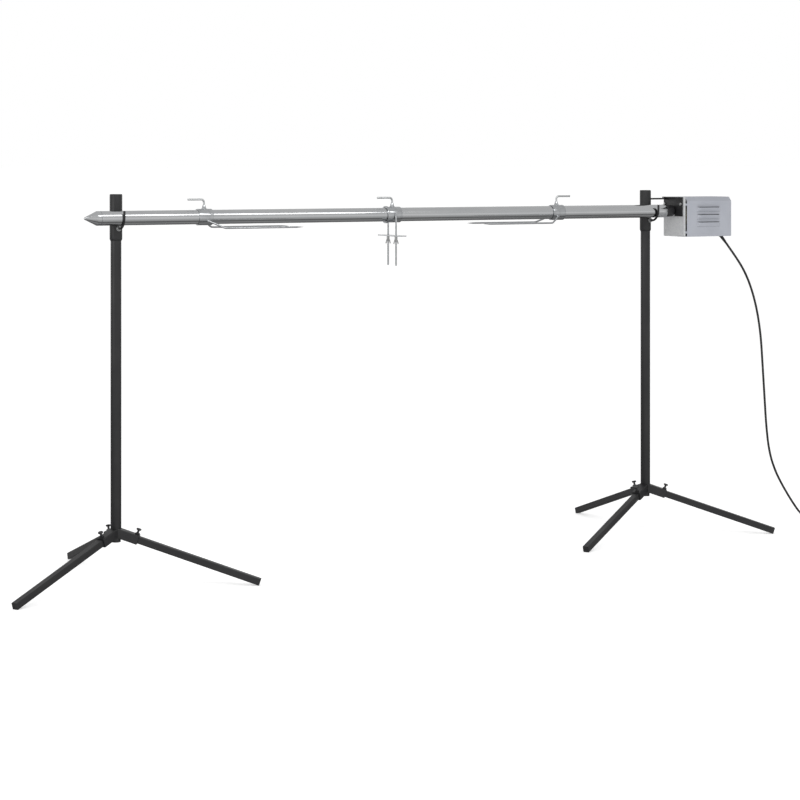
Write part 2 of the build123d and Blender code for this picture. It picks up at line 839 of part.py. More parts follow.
with BuildPart() as output_gear:
    gear_face = across(output_gear_at, spit_y, spit_height)
    add_gear(gear_face, wheel_teeth, cluster_turn, gear_width)
    bore_through(gear_face, gear_seat_diameter + 2 * shaft_gap, gear_width)
write(output_gear, "output_gear")

with BuildPart() as output_bush:
    with BuildSketch(across(box_start - bush_stand_out, spit_y, spit_height)):
        Circle(bush_diameter / 2)
    extrude(amount=bush_length)
    with BuildSketch(across(inner_face, spit_y, spit_height)):
        Circle(bush_flange / 2)
    extrude(amount=bush_flange_thick)
    bore_through(
        across(box_start - bush_stand_out, spit_y, spit_height),
        shaft_diameter + 2 * shaft_gap,
        bush_length,
    )
write(output_bush, "output_bush")

with BuildPart() as cluster_gear:
    pinion_face = across(output_gear_at - 0.5, cluster_y, cluster_z)
    pinion_run = cluster_gear_at - output_gear_at + 0.5
    first_pinion_tooth = cluster_turn + 180 + half_pinion_pitch
    add_gear(pinion_face, pinion_teeth, first_pinion_tooth, pinion_run)
    wheel_face = across(cluster_gear_at, cluster_y, cluster_z)
    add_gear(wheel_face, wheel_teeth, rotor_turn, cluster_gear_width)
    whole = pinion_run + cluster_gear_width
    bore_through(pinion_face, cluster_pin_diameter + 2 * shaft_gap, whole)
write(cluster_gear, "cluster_gear")

with BuildPart() as cluster_pin:
    with BuildSketch(across(inner_face, cluster_y, cluster_z)):
        Circle(cluster_pin_diameter / 2)
    extrude(amount=gear_plate_at + gear_plate_thick - inner_face)
write(cluster_pin, "cluster_pin")

with BuildPart() as gear_plate:
    plate_middle = (pillar_levels[0] + pillar_levels[1]) / 2
    plate_half_height = (pillar_levels[1] - pillar_levels[0]) / 2
    with BuildSketch(across(gear_plate_at, spit_y, plate_middle)):
        RectangleRounded(2 * gear_plate_half, 2 * (plate_half_height + 6), 5)
    extrude(amount=gear_plate_thick)
    with BuildSketch(across(inner_face, spit_y, plate_middle)):
        with GridLocations(2 * pillar_spread, 2 * plate_half_height, 2, 2):
            Circle(pillar_diameter / 2)
    extrude(amount=gear_plate_at - inner_face)
    for hole_y, hole_z, diameter in (
        (spit_y, spit_height, shaft_journal),
        (cluster_y, cluster_z, cluster_pin_diameter),
        (rotor_y, rotor_z, rotor_shaft),
    ):
        bore_through(across(gear_plate_at, hole_y, hole_z), diameter + 2 * shaft_gap, gear_plate_thick)
write(gear_plate, "gear_plate")

with BuildPart() as rotor:
    shaft_end = stator_at + stator_thick + yoke_rise + yoke_thick + 3
    first_rotor_tooth = rotor_turn + 180 + half_pinion_pitch
    add_gear(
        across(cluster_gear_at - 0.5, rotor_y, rotor_z),
        pinion_teeth,
        first_rotor_tooth,
        rotor_pinion_width,
    )
    with BuildSketch(across(cluster_gear_at - 0.5, rotor_y, rotor_z)):
        Circle(rotor_shaft / 2)
    extrude(amount=shaft_end - cluster_gear_at + 0.5)
    with BuildSketch(across(stator_at, rotor_y, rotor_z)):
        Circle(rotor_diameter / 2)
    extrude(amount=stator_thick)
write(rotor, "rotor")

with BuildPart() as stator:
    with BuildSketch(across(stator_at, rotor_y)):
        with Locations((0, (stator_top + stator_bottom) / 2)):
            Rectangle(2 * stator_half_width, stator_top - stator_bottom)
        with Locations((0, (stator_window[0] + stator_window[1]) / 2)):
            Rectangle(
                2 * stator_window_half, stator_window[1] - stator_window[0], mode=Mode.SUBTRACT
            )
        with Locations((0, rotor_z)):
            Circle(rotor_diameter / 2 + rotor_air_gap, mode=Mode.SUBTRACT)
    extrude(amount=stator_thick)
    with BuildSketch(across(gear_plate_at + gear_plate_thick, rotor_y, rotor_z)):
        with GridLocations(2 * (stator_half_width - 5), 0, 2, 1):
            Circle(3.5)
    extrude(amount=stator_at - gear_plate_at - gear_plate_thick)
    with BuildSketch(across(stator_at + stator_thick, rotor_y, rotor_z)):
        with GridLocations(2 * (stator_half_width - 5), 0, 2, 1):
            Circle(3.5)
    extrude(amount=yoke_rise)
    with BuildSketch(across(stator_at + stator_thick + yoke_rise, rotor_y, rotor_z)):
        RectangleRounded(2 * stator_half_width, 14, 4)
        Circle(rotor_shaft / 2 + shaft_gap, mode=Mode.SUBTRACT)
    extrude(amount=yoke_thick)
write(stator, "stator")

with BuildPart() as field_coil:
    limb_middle = (stator_window[1] + stator_top) / 2
    limb_height = stator_top - stator_window[1]
    with BuildSketch(along(rotor_y, limb_middle, stator_at + stator_thick / 2)):
        RectangleRounded(stator_thick + 2 * coil_build, limb_height + 2 * coil_build, 5)
        Rectangle(stator_thick + 2 * seat_gap, limb_height + 2 * seat_gap, mode=Mode.SUBTRACT)
    extrude(amount=coil_half_width, both=True)
write(field_coil, "field_coil")

# ---- power cord ----

with BuildPart() as cord_gland:
    with BuildSketch(level(gland_at, cord_y, box_bottom)):
        Circle(gland_diameter / 2)
    extrude(amount=-gland_lip)
    with BuildSketch(level(gland_at, cord_y, box_bottom)):
        Circle(gland_hole / 2 - seat_gap)
    extrude(amount=3 * sheet)
    tilt = radians(relief_tilt)
    relief_base = Plane(origin=(gland_at, cord_y, box_bottom), z_dir=(sin(tilt), 0, -cos(tilt)))
    with BuildSketch(relief_base.offset(gland_lip * 0.6)):
        Circle(relief_start_radius)
    with BuildSketch(relief_base.offset(relief_length)):
        Circle(relief_end_radius)
    loft()
    with BuildSketch(level(gland_at, cord_y, box_bottom)):
        Rectangle(4 * gland_diameter, 4 * gland_diameter)
        Circle(gland_hole / 2 - seat_gap, mode=Mode.SUBTRACT)
    extrude(amount=gland_diameter, mode=Mode.SUBTRACT)
write(cord_gland, "cord_gland")

# The cord's route from the strain relief to the floor and on to the coil, as
# (X, distance in front of the gland's plane, height).
hanging_route = [
    (relief_tip[0], 0.0, relief_tip[1]),
    (1099.5, 0.0, 821.0),
    (1135.0, 1.0, 774.0),
    (1160.5, 3.0, 721.0),
    (1181.5, 4.0, 654.0),
    (1196.0, 4.0, 574.0),
    (1204.0, 2.0, 486.0),
    (1212.5, 0.0, 392.0),
    (1220.5, -2.0, 300.0),
    (1233.0, -4.0, 220.0),
    (1256.0, -5.0, 160.0),
    (1289.0, -6.0, 107.0),
    (1323.0, -7.0, 60.0),
    (1356.0, -8.0, 20.0),
    (1397.0, -9.0, floor_cord),
    (1446.0, -9.0, floor_cord),
]


def corner_radii(points):
    """Largest tangent arcs: each takes 0.45 of the shorter run beside its corner."""
    radii = []
    for before, corner, after in zip(points, points[1:], points[2:]):
        run_in, run_out = Vector(corner) - Vector(before), Vector(after) - Vector(corner)
        half_turn = radians(run_in.get_angle(run_out)) / 2
        radii.append(0.45 * min(run_in.length, run_out.length) / tan(half_turn))
    return radii


def make_cord(name, points):
    radii = corner_radii(points)
    with BuildPart() as cord:
        with BuildLine() as path:
            FilletPolyline(*points, radius=radii)
        with BuildSketch(Plane(origin=path.line @ 0, z_dir=path.line % 0)):
            Circle(cord_radius)
        sweep()
    write(cord, name)
    length = sum(edge.length for edge in path.line.edges())
    expected = pi * cord_radius**2 * length
    print(name, "length", round(length, 1), "volume ratio", round(cord.part.volume / expected, 4))
    print(name, "radii", [round(radius) for radius in radii])


make_cord("power_cord", [(x, cord_y - front, z) for x, front, z in hanging_route])

coil_x = hanging_route[-1][0]
coil_outer_turn = (coil_mean_diameter + cord_diameter) / 2
coil_front_y = cord_y - hanging_route[-1][1]
coil_y = coil_front_y + coil_outer_turn

with BuildPart() as cord_coil:
    with BuildSketch(level(coil_x, coil_y, floor_cord - cord_radius)):
        Circle(coil_mean_diameter / 2 + cord_diameter)
        Circle(coil_mean_diameter / 2 - cord_diameter, mode=Mode.SUBTRACT)
    extrude(amount=coil_turns / 2 * cord_diameter)
    fillet(cord_coil.edges(), cord_radius * 0.8)
write(cord_coil, "cord_coil")
print("coil holds", round(coil_turns * pi * coil_mean_diameter, 1))

plug_axis = plug_radius + 0.1
plug_back = coil_x + 112.0
make_cord("cord_tail", [
    (coil_x, coil_front_y, floor_cord + cord_diameter),
    (coil_x + 28, coil_front_y, floor_cord + cord_diameter + 0.3),
    (coil_x + 60, coil_front_y - 1, plug_axis - 2.5),
    (coil_x + 88, coil_front_y - 2, plug_axis - 0.3),
    (plug_back, coil_front_y - 2, plug_axis),
])
plug_y = coil_front_y - 2

with BuildPart() as plug:
    with BuildSketch(along(plug_y, plug_axis, plug_back)):
        with BuildLine():
            Polyline(
                (0, 0),
                (0, cord_radius + 0.7),
                (plug_relief, cord_radius + 2.4),
                (plug_relief + 2, cord_radius + 6),
                (plug_relief + 14, cord_radius + 9),
                (plug_relief + 24, plug_radius),
                (plug_relief + plug_length, plug_radius),
                (plug_relief + plug_length, 0),
                close=True,
            )
        make_face()
    revolve(axis=Axis((0, plug_y, plug_axis), (1, 0, 0)))
    fillet(plug.edges().group_by(Axis.X)[-1], 1.0)
    plug_face = plug_back + plug_relief + plug_length
    with BuildSketch(across(plug_face, plug_y, plug_axis)):
        with GridLocations(0, 2 * plug_radius, 1, 2):
            Rectangle(9, 9)
    extrude(amount=-12, mode=Mode.SUBTRACT)
    with BuildSketch(across(plug_face, plug_y, plug_axis)):
        with GridLocations(pin_pitch, 0, 2, 1):
            Circle(pin_diameter / 2)
    extrude(amount=pin_length)
    fillet(plug.edges().group_by(Axis.X)[-1], 1.2)
write(plug, "plug")
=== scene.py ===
import json
from math import cos, pi, radians, sin, tan

import bmesh
import bpy
from mathutils import Matrix, Vector

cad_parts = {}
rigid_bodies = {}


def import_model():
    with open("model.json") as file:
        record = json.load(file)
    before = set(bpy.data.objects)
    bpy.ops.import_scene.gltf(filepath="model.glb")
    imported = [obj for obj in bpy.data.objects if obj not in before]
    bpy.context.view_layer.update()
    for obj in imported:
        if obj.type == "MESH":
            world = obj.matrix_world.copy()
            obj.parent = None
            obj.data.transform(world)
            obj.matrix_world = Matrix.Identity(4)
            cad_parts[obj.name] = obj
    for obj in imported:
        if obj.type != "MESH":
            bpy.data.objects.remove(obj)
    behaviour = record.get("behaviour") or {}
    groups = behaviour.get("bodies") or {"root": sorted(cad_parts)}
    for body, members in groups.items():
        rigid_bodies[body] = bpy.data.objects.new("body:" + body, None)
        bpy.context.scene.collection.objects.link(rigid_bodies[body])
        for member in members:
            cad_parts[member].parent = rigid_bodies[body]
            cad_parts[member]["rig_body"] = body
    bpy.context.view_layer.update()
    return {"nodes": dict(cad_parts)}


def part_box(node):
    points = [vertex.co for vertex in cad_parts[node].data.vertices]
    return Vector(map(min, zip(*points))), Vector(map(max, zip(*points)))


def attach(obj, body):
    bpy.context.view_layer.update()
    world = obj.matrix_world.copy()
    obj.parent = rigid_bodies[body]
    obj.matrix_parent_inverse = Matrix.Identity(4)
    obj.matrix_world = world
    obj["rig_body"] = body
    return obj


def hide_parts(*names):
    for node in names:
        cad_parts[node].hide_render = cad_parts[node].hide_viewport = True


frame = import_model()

# Spit rotisserie for whole animals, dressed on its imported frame: two tripod stands, a
# stainless spit with two forks and a spine clamp, and a gear motor with its cord.
# X runs along the spit to the motor, Y points away from the user, Z is up, in metres.

nodes = frame["nodes"]
mm = 0.001
scene = bpy.context.scene
sides = ("left", "right")
leg_places = ("left", "right", "back")

# Sizes in millimetres that several pieces or helpers share.
merge_distance = 0.002
tube_wall = 1.5
prong_radius = 2.5
collar_bore = 19.3
collar_radius = collar_bore + 2.45
boss_radius = 6.0
boss_bore = 2.85
boss_proud = 9.5


def middle(node):
    """Middle of a node's box."""
    low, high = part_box(node)
    return (low + high) / 2


def size(node):
    """Lengths of a node's box."""
    low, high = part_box(node)
    return high - low


# ---- camera ----

camera_data = bpy.data.cameras.new("camera")
camera_data.sensor_width = 36
camera_data.lens = 93.296
camera_data.shift_x = 0.009757
camera_data.shift_y = -0.299148
camera_data.clip_end = 1000
camera = bpy.data.objects.new("camera", camera_data)
camera.location = (-2.6224, -5.2246, 1.1)
camera.rotation_euler = (radians(90), 0, radians(-26.906))
scene.collection.objects.link(camera)
scene.camera = camera

# ---- materials ----


def linear(code):
    """An sRGB hex colour as linear red, green, blue and full alpha."""
    parts = [int(code[i : i + 2], 16) / 255 for i in (0, 2, 4)]
    return (*[p / 12.92 if p <= 0.04045 else ((p + 0.055) / 1.055) ** 2.4 for p in parts], 1.0)


def add_node(tree, kind, values=None, links=None, stops=(), **settings):
    """Add a node with its settings, inputs' values, links from other nodes and ramp stops."""
    node = tree.nodes.new(kind)
    for name, value in settings.items():
        setattr(node, name, value)
    for name, value in (values or {}).items():
        node.inputs[name].default_value = value
    for name, source in (links or {}).items():
        tree.links.new(source, node.inputs[name])
    for place, (position, colour) in enumerate(stops):
        ramp = node.color_ramp.elements
        stop = ramp[place] if place < len(ramp) else ramp.new(position)
        stop.position = position
        stop.color = colour
    return node


def start_material(name, shader_values):
    """A material with a Principled shader set on its sockets, and Object coordinates."""
    material = bpy.data.materials.new(name)
    material.use_nodes = True
    tree = material.node_tree
    tree.nodes.clear()
    place = add_node(tree, "ShaderNodeTexCoord").outputs["Object"]
    shader = add_node(tree, "ShaderNodeBsdfPrincipled", shader_values)
    add_node(tree, "ShaderNodeOutputMaterial", links={"Surface": shader.outputs[0]})
    return material, tree, place, shader


def grain(tree, place, grain_mm, detail=3.0, stretch=(1, 1, 1)):
    """Noise with grains of about this size in millimetres, stretched along an axis."""
    scale = [1 / (grain_mm * mm * s) for s in stretch]
    spread = add_node(tree, "ShaderNodeMapping", {"Scale": scale}, {"Vector": place})
    noise = add_node(
        tree,
        "ShaderNodeTexNoise",
        {"Scale": 1.0, "Detail": detail, "Roughness": 0.55},
        {"Vector": spread.outputs[0]},
    )
    return noise.outputs[0]


def between(tree, factor, low, high):
    """Numbers from low to high as the factor goes over the middle of its range."""
    spread = add_node(
        tree,
        "ShaderNodeMapRange",
        {"From Min": 0.3, "From Max": 0.7, "To Min": low, "To Max": high},
        {"Value": factor},
    )
    return spread.outputs[0]


def tinted(tree, factor, first, second):
    """Colours from first to second as the factor goes over the middle of its range."""
    mix = add_node(
        tree,
        "ShaderNodeMix",
        {6: linear(first), 7: linear(second)},
        {0: between(tree, factor, 0, 1)},
        data_type="RGBA",
    )
    return mix.outputs[2]


def raise_surface(tree, shader, height, depth_mm, strength=0.6):
    """Bump from a height pattern of this depth in millimetres."""
    bump = add_node(
        tree,
        "ShaderNodeBump",
        {"Strength": strength, "Distance": depth_mm * mm},
        {"Height": height},
    )
    tree.links.new(bump.outputs[0], shader.inputs["Normal"])


def powder_coat(name, lit, shaded, rough=0.42):
    # Polyester powder baked on steel: flows out to a satin skin with a fine orange peel,
    # a little duller where the film is thin. Thinner black films differ in their gloss.
    material, tree, place, shader = start_material(name, {"IOR": 1.5})
    skin = grain(tree, place, 1.6, 2.0)
    cloud = grain(tree, place, 60.0, 2.0)
    tree.links.new(tinted(tree, cloud, lit, shaded), shader.inputs["Base Color"])
    tree.links.new(between(tree, cloud, rough - 0.05, rough + 0.05), shader.inputs["Roughness"])
    raise_surface(tree, shader, skin, 0.05)
    return material


def polished_tube():
    # Welded stainless tube, 304, ground and polished round its girth: bright with very
    # fine rings and a faint haze, so reflections run along it in clean bands.
    material, tree, place, shader = start_material("polished_stainless_304", {"Metallic": 1.0})
    rings = grain(tree, place, 0.9, 3.0, (1, 30, 30))
    haze = grain(tree, place, 45.0, 3.0, (4, 1, 1))
    tree.links.new(tinted(tree, haze, "C4C6C8", "CECFD0"), shader.inputs["Base Color"])
    tree.links.new(between(tree, haze, 0.10, 0.17), shader.inputs["Roughness"])
    raise_surface(tree, shader, rings, 0.01, 0.25)
    return material


def drawn_steel(name, light, dark, rough, grain_mm=0.7):
    # Cold-drawn steel rod and turned collars: fine marks, stretched along X, and slightly
    # uneven brightness from handling.
    material, tree, place, shader = start_material(name, {"Metallic": 1.0})
    marks = grain(tree, place, grain_mm, 3.0, (14, 1, 1))
    cloud = grain(tree, place, 14.0, 3.0)
    tree.links.new(tinted(tree, cloud, light, dark), shader.inputs["Base Color"])
    tree.links.new(between(tree, marks, rough - 0.05, rough + 0.07), shader.inputs["Roughness"])
    raise_surface(tree, shader, marks, 0.02, 0.4)
    return material


def zinc_plate(name, light, dark, rough, grain_mm, metallic=1.0):
    # Zinc on steel: a soft grey metal with crystals of slightly different brightness,
    # fine on plated screws, and coarser on dipped sheet under a chalky, less metallic film.
    material, tree, place, shader = start_material(name, {"Metallic": metallic})
    spread = add_node(
        tree, "ShaderNodeMapping", {"Scale": [1 / (grain_mm * mm)] * 3}, {"Vector": place}
    )
    crystals = add_node(
        tree, "ShaderNodeTexVoronoi", {"Scale": 1.0}, {"Vector": spread.outputs[0]}
    ).outputs["Color"]
    film = grain(tree, place, grain_mm * 2.5, 3.0)
    tree.links.new(tinted(tree, crystals, light, dark), shader.inputs["Base Color"])
    tree.links.new(between(tree, film, rough - 0.06, rough + 0.08), shader.inputs["Roughness"])
    raise_surface(tree, shader, film, 0.02, 0.3)
    return material


def moulded_plastic(name, light, dark, rough, grain_mm=0.6):
    # Injection-moulded polyamide or PVC from a spark-eroded mould: an even matt grain
    # that breaks the gloss up.
    material, tree, place, shader = start_material(name, {"IOR": 1.5})
    texture = grain(tree, place, grain_mm, 2.0)
    cloud = grain(tree, place, 30.0, 2.0)
    tree.links.new(tinted(tree, cloud, light, dark), shader.inputs["Base Color"])
    tree.links.new(between(tree, texture, rough - 0.06, rough + 0.06), shader.inputs["Roughness"])
    raise_surface(tree, shader, texture, 0.04, 0.5)
    return material


def copper_winding():
    # Enamelled copper wire, 0.6 mm, wound in close turns: a ribbed amber-brown gloss.
    # Turns are drawn twice as far apart as they lie, so that they show.
    turn_pitch = 1.2
    material, tree, place, shader = start_material(
        "enamelled_copper_wire", {"Metallic": 1.0, "Roughness": 0.3}
    )
    turns = add_node(
        tree,
        "ShaderNodeTexWave",
        {"Scale": pi / (10 * turn_pitch * mm), "Distortion": 0.4, "Detail": 1.0},
        {"Vector": place},
        bands_direction="Y",
    ).outputs["Fac"]
    tree.links.new(tinted(tree, turns, "5E2B14", "C4713B"), shader.inputs["Base Color"])
    raise_surface(tree, shader, turns, 0.4, 0.8)
    return material


finishes = {
    # Stands, bracket and stay rod: satin black with a fine orange peel.
    "black_powder_coat": powder_coat("black_powder_coat_satin", "232324", "1C1C1E"),
    # Hooks: black oxide on bent rod, a thin film, darker and a little glossier.
    "black_steel_rod": powder_coat("black_oxide_rod", "1C1C1E", "161618", 0.38),
    # Nuts, wing nuts and box screws: bright grey zinc plate with fine crystals.
    "zinc_fasteners": zinc_plate("zinc_plated_steel", "C4C5C4", "A6A7A8", 0.34, 0.8),
    # Forks, clamp and plate: bright drawn stainless with sharp reflections.
    "steel_forks": drawn_steel("bright_drawn_stainless", "C6C8CA", "B2B4B6", 0.17),
    # Bent screws of the forks and clamp: the same rod, paler and more matt.
    "steel_cranks": drawn_steel("bent_stainless_rod", "DADCDD", "C8CACB", 0.30),
    # Legs' end plugs: grained black nylon. The same black on the motor cover's inner faces is painted
    # shade, so the cover's inside reads dark through its slots.
    "black_plastic": moulded_plastic("moulded_black_nylon_and_painted_shade", "1E1E1F", "272728", 0.48),
    # Leg screws: oiled black oxide.
    "black_screws": powder_coat("black_oxide_screw", "202022", "2A2A2C", 0.36),
    # Spit and its point: mirror-like, with long clean bands.
    "polished_stainless": polished_tube(),
    # Drive coupling: a smooth satin black skin on turned steel.
    "black_coupling": powder_coat("satin_black_coupling", "1D1D1F", "262628", 0.34),
    # Motor's cover: stoved satin paint in a cool light grey.
    "grey_cover": powder_coat("satin_grey_paint", "A9ACB4", "A3A6AE", 0.36),
    # End plate and gear plate: dipped zinc, chalky with broad faint crystals.
    "galvanised_plate": zinc_plate("dipped_zinc_sheet", "C9CACB", "C0C1C3", 0.55, 4.0, 0.3),
    # Shafts, rotor and stator: turned and stacked steel with tool marks.
    "turned_steel": drawn_steel("turned_free_cutting_steel", "B5B5B4", "969696", 0.3),
    # Output bush: porous bronze with a warm dull shine.
    "brass_bush": drawn_steel("sintered_bronze", "B58A4A", "94703A", 0.42, 0.5),
    # Gears: undyed nylon, creamy and matt.
    "nylon_gears": moulded_plastic("natural_nylon", "E3DECB", "D6D0BB", 0.44),
    # Field coil: amber-brown ribs.
    "copper_coil": copper_winding(),
    # Cord, strain relief and plug: soft black rubber with an even matt grain.
    "black_cord": moulded_plastic("black_rubber_sheath", "1B1B1C", "232324", 0.52, 0.9),
}

# ---- mesh helpers ----


def finish_piece(name, bm, body, slot, replaced, sharp=32):
    """Make the bmesh a piece: clean, smooth with its sharp edges kept, riding on a body."""
    bmesh.ops.remove_doubles(bm, verts=bm.verts, dist=merge_distance * mm)
    bmesh.ops.recalc_face_normals(bm, faces=bm.faces)
    mesh = bpy.data.meshes.new(name)
    bm.to_mesh(mesh)
    bm.free()
    mesh.shade_smooth()
    mesh.set_sharp_from_angle(angle=radians(sharp))
    mesh.materials.append(finishes[slot])
    piece = bpy.data.objects.new(name, mesh)
    scene.collection.objects.link(piece)
    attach(piece, body)
    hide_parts(*replaced)
    return piece


def ease_edges(bm, width_mm, angle=35, segments=2):
    """Round the sharp edges over by this width."""
    sharp = [
        edge
        for edge in bm.edges
        if len(edge.link_faces) == 2 and edge.calc_face_angle() > radians(angle)
    ]
    bmesh.ops.bevel(
        bm,
        geom=sharp,
        offset=width_mm * mm,
        offset_type="OFFSET",
        segments=segments,
        profile=0.5,
        affect="EDGES",
        clamp_overlap=True,
        material=-1,
    )


def turn_matrix(origin, heading, side=(0, 0, 1)):
    """Matrix whose Z axis lies along heading, at origin."""
    ahead = Vector(heading).normalized()
    across = Vector(side).cross(ahead)
    if across.length < 1e-4:
        across = Vector((1, 0, 0)).cross(ahead)
    across.normalize()
    up = ahead.cross(across)
    turned = Matrix((across, up, ahead)).transposed().to_4x4()
    return Matrix.Translation(Vector(origin)) @ turned


def turned(bm, profile, origin, heading, steps=96, closed=False):
    """Spin a profile of (distance along, radius), in mm, round the heading's axis."""
    shape = bmesh.new()
    points = [shape.verts.new((radius * mm, 0, along * mm)) for along, radius in profile]
    pairs = list(zip(points, points[1:]))
    if closed:
        pairs.append((points[-1], points[0]))
    edges = [shape.edges.new(pair) for pair in pairs]
    bmesh.ops.spin(
        shape,
        geom=points + edges,
        cent=(0, 0, 0),
        axis=(0, 0, 1),
        angle=2 * pi,
        steps=steps,
        use_merge=True,
        use_duplicate=False,
    )
    bmesh.ops.remove_doubles(shape, verts=shape.verts, dist=merge_distance * mm)
    add_shape(bm, shape, turn_matrix(origin, heading))


def add_shape(bm, shape, matrix=None):
    """Put a finished shape into the bmesh."""
    bmesh.ops.recalc_face_normals(shape, faces=shape.faces)
    if matrix is not None:
        bmesh.ops.transform(shape, matrix=matrix, verts=shape.verts)
    holder = bpy.data.meshes.new("holder")
    shape.to_mesh(holder)
    shape.free()
    bm.from_mesh(holder)
    bpy.data.meshes.remove(holder)


def arc_corner(corners, bend, steps=10):
    """Route along straight runs with tangent arcs of this radius, all in millimetres."""
    route = [Vector(corners[0])]
    for before, corner, after in zip(corners, corners[1:], corners[2:]):
        corner = Vector(corner)
        back = (Vector(before) - corner).normalized()
        ahead = (Vector(after) - corner).normalized()
        half = back.angle(ahead) / 2
        centre = corner + (back + ahead).normalized() * (bend / sin(half))
        start = (corner + back * (bend / tan(half)) - centre).normalized()
        finish = (corner + ahead * (bend / tan(half)) - centre).normalized()
        for step in range(steps + 1):
            route.append(centre + start.slerp(finish, step / steps) * bend)
    route.append(Vector(corners[-1]))
    return route


def rod(bm, route, radii, sides_round=28):
    """Sweep a round rod along a route, with a radius for each of its points, in millimetres."""
    shape = bmesh.new()
    normal = Vector((0, 0, 0))
    for first, second, third in zip(route, route[1:], route[2:]):
        normal = (second - first).cross(third - second)
        if normal.length > 1e-6:
            break
    if normal.length < 1e-6:
        normal = (route[1] - route[0]).orthogonal()
    normal.normalize()
    last_ring = None
    for place, point in enumerate(route):
        before = route[max(place - 1, 0)]
        after = route[min(place + 1, len(route) - 1)]
        ahead = ((point - before).normalized() + (after - point).normalized()).normalized()
        frame_turn = Matrix((normal, ahead.cross(normal), ahead)).transposed().to_4x4()
        ring = bmesh.ops.create_circle(
            shape,
            cap_ends=place in (0, len(route) - 1),
            segments=sides_round,
            radius=radii[place] * mm,
            matrix=Matrix.Translation(point * mm) @ frame_turn,
        )["verts"]
        edges = list({edge for vert in ring for edge in vert.link_edges})
        if last_ring:
            bmesh.ops.bridge_loops(shape, edges=last_ring + edges)
        last_ring = edges
    add_shape(bm, shape)


def own_shape(node):
    """A copy of a node's shape with its triangles merged into whole faces."""
    shape = bmesh.new()
    shape.from_mesh(nodes[node].data)
    bmesh.ops.remove_doubles(shape, verts=shape.verts, dist=0.004 * mm)
    bmesh.ops.dissolve_limit(
        shape, angle_limit=radians(0.6), verts=shape.verts, edges=shape.edges, delimit=set()
    )
    return shape


def shade_evenly(piece):
    """Keep broad flat faces flat-looking beside their rounded edges."""
    even = piece.modifiers.new("even_shading", "WEIGHTED_NORMAL")
    even.keep_sharp = True
    even.weight = 80


def refined(node, slot, width=0.4, segments=2):
    """A node's own shape, its sharp edges slightly rounded over."""
    shape = own_shape(node)
    ease_edges(shape, width, segments=segments)
    piece = finish_piece(f"{node}_finished", shape, nodes[node]["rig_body"], slot, [node])
    shade_evenly(piece)
    return piece


def paint(node, slot):
    """Give a node that keeps its shape the finish of its slot."""
    nodes[node].data.materials.clear()
    nodes[node].data.materials.append(finishes[slot])


# ---- power cord ----

cord_thick = 6.6
cord_y = middle("cord_gland").y / mm
floor_level = cord_thick / 2 + 0.1

# The route from the strain relief to the floor and on to the coil, as (X, distance in
# front of the gland's plane, height) in millimetres.
hanging_route = [
    (1067.745, 0, 857.887),
    (1099.5, 0, 821),
    (1135, 1, 774),
    (1160.5, 3, 721),
    (1181.5, 4, 654),
    (1196, 4, 574),
    (1204, 2, 486),
    (1212.5, 0, 392),
    (1220.5, -2, 300),
    (1233, -4, 220),
    (1256, -5, 160),
    (1289, -6, 107),
    (1323, -7, 60),
    (1356, -8, 20),
    (1397, -9, floor_level),
]


def passed(turn, start):
    """From 0 to 1 over the quarter turn after start, easing in and out."""
    share = min(max((turn - start) / 0.25, 0.0), 1.0)
    return share * share * (3 - 2 * share)


def coil_route(steps=16):
    """Four turns, wound inwards on the floor and back out on top of themselves."""
    centre = middle("cord_coil") / mm
    outer = size("cord_coil").x / mm / 2 - cord_thick / 2
    swell = 1 / cos(pi / steps)
    route = []
    for step in range(4 * steps + 1):
        turn = step / steps
        in_step, up_step = passed(turn, 0.75), passed(turn, 1.75)
        out_step, leave = passed(turn, 2.75), passed(turn, 3.75)
        radius = outer + cord_thick * (out_step + leave - in_step) - 1.4 * sin(pi * up_step)
        height = floor_level + cord_thick * up_step + 1.4 * sin(pi * up_step)
        height += 2.7 * sin(pi * out_step)
        angle = 2 * pi * turn - pi / 2
        route.append(
            (centre.x + swell * radius * cos(angle), centre.y + swell * radius * sin(angle), height)
        )
    return route


def tail_route():
    """From the coil's last turn to the back of the plug, lifting off the floor."""
    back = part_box("plug")[0].x / mm
    plug_y = middle("plug").y / mm
    plug_axis = middle("plug").z / mm
    start = coil_route()[-1]
    return [
        (start[0] + 28, start[1] + 0.6, start[2]),
        (start[0] + 60, plug_y - 1.5, plug_axis - 4.5),
        (start[0] + 88, plug_y, plug_axis - 0.3),
        (back, plug_y, plug_axis),
    ]


def make_cord():
    curve = bpy.data.curves.new("power_lead", "CURVE")
    curve.dimensions = "3D"
    curve.bevel_depth = cord_thick / 2 * mm
    curve.bevel_resolution = 7
    curve.resolution_u = 6
    curve.use_fill_caps = True
    line = curve.splines.new("NURBS")
    points = [(x, cord_y - front, z) for x, front, z in hanging_route]
    points += coil_route() + tail_route()
    line.points.add(len(points) - 1)
    for point, (x, y, z) in zip(line.points, points):
        point.co = (x * mm, y * mm, z * mm, 1)
    line.order_u = 3
    line.use_endpoint_u = True
    curve.materials.append(finishes["black_cord"])
    lead = bpy.data.objects.new("power_lead", curve)
    scene.collection.objects.link(lead)
    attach(lead, "motor")
    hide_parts("power_cord", "cord_coil", "cord_tail")
    return lead, [x * mm for x in points[0]]


lead, lead_exit = make_cord()


